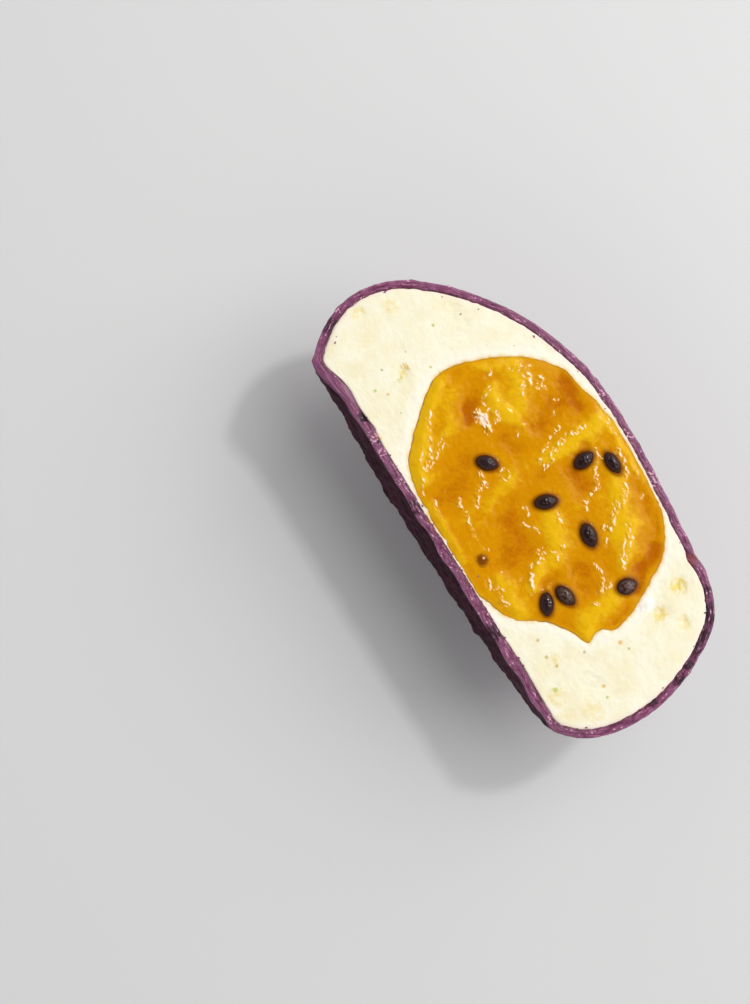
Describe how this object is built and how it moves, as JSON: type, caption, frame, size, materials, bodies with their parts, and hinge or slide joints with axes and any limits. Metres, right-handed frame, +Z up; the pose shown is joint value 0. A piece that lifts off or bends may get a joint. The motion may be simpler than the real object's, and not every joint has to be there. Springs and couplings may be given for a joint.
{
  "type": "filled egg-shaped dessert half",
  "caption": "Half of an egg-shaped filled dessert: purple coat, pale cream and a soft passion fruit centre with seeds, lying on its round side with the cut face up.",
  "frame": {"origin": "middle of the bounding box, at the foot that the half rests on", "axes": "+X along the length from the pointed end to the blunt end, +Y from the flat base to the crown of the dome, +Z up out of the cut face"},
  "size_m": [0.1162, 0.0546, 0.0403],
  "materials": {
    "purple_coat": "satin matte sugar coat",
    "cream_filling": "soft matte set cream",
    "passion_fruit_centre": "wet glossy fruit jelly"
  },
  "bodies": {
    "root": {"purple_coat": "purple_coat", "cream_filling": "cream_filling", "passion_fruit_centre": "passion_fruit_centre"}
  },
  "joints": []
}
